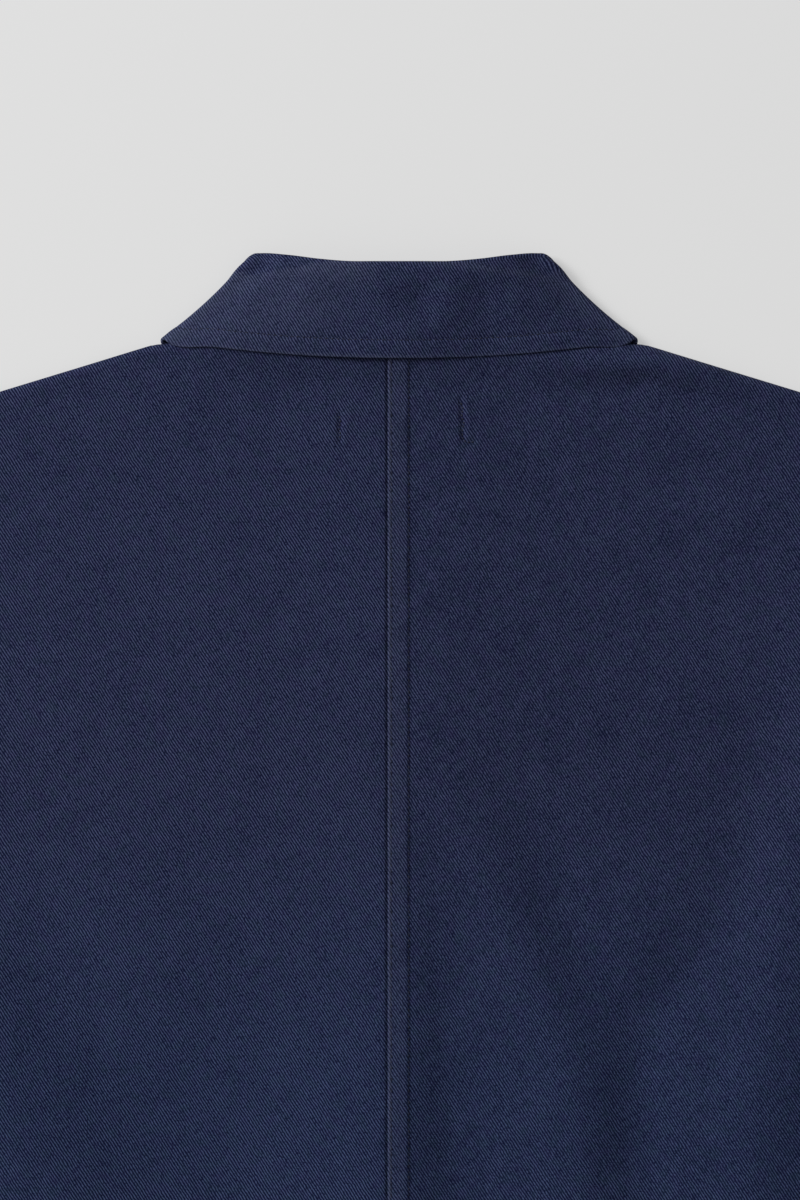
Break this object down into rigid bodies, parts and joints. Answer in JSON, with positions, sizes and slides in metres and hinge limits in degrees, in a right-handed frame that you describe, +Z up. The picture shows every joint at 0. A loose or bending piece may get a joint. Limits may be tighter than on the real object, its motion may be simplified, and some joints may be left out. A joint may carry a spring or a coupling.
{
  "type": "chore jacket",
  "caption": "Navy twill chore jacket laid flat on its front, back up, with a folded-over collar, a felled centre back seam, straight sleeves, patch pockets and a buttoned front.",
  "frame": {"origin": "centre of the whole jacket's outline as it lies, on the surface it rests on", "axes": "+Z up, out of the jacket's back; +Y towards the collar; +X across the jacket, to the wearer's right"},
  "size_m": [1.0906, 0.7642, 0.0126],
  "materials": {
    "navy_twill": "matte cotton twill",
    "button_resin": "satin resin"
  },
  "bodies": {
    "root": {"back_left": "navy_twill", "back_right": "navy_twill", "front_left": "navy_twill", "front_right": "navy_twill", "sleeve_left": "navy_twill", "sleeve_right": "navy_twill", "hip_pocket_left": "navy_twill", "hip_pocket_right": "navy_twill", "chest_pocket": "navy_twill", "collar": "navy_twill", "button_1": "button_resin", "button_2": "button_resin", "button_3": "button_resin", "button_4": "button_resin", "button_5": "button_resin"}
  },
  "joints": []
}
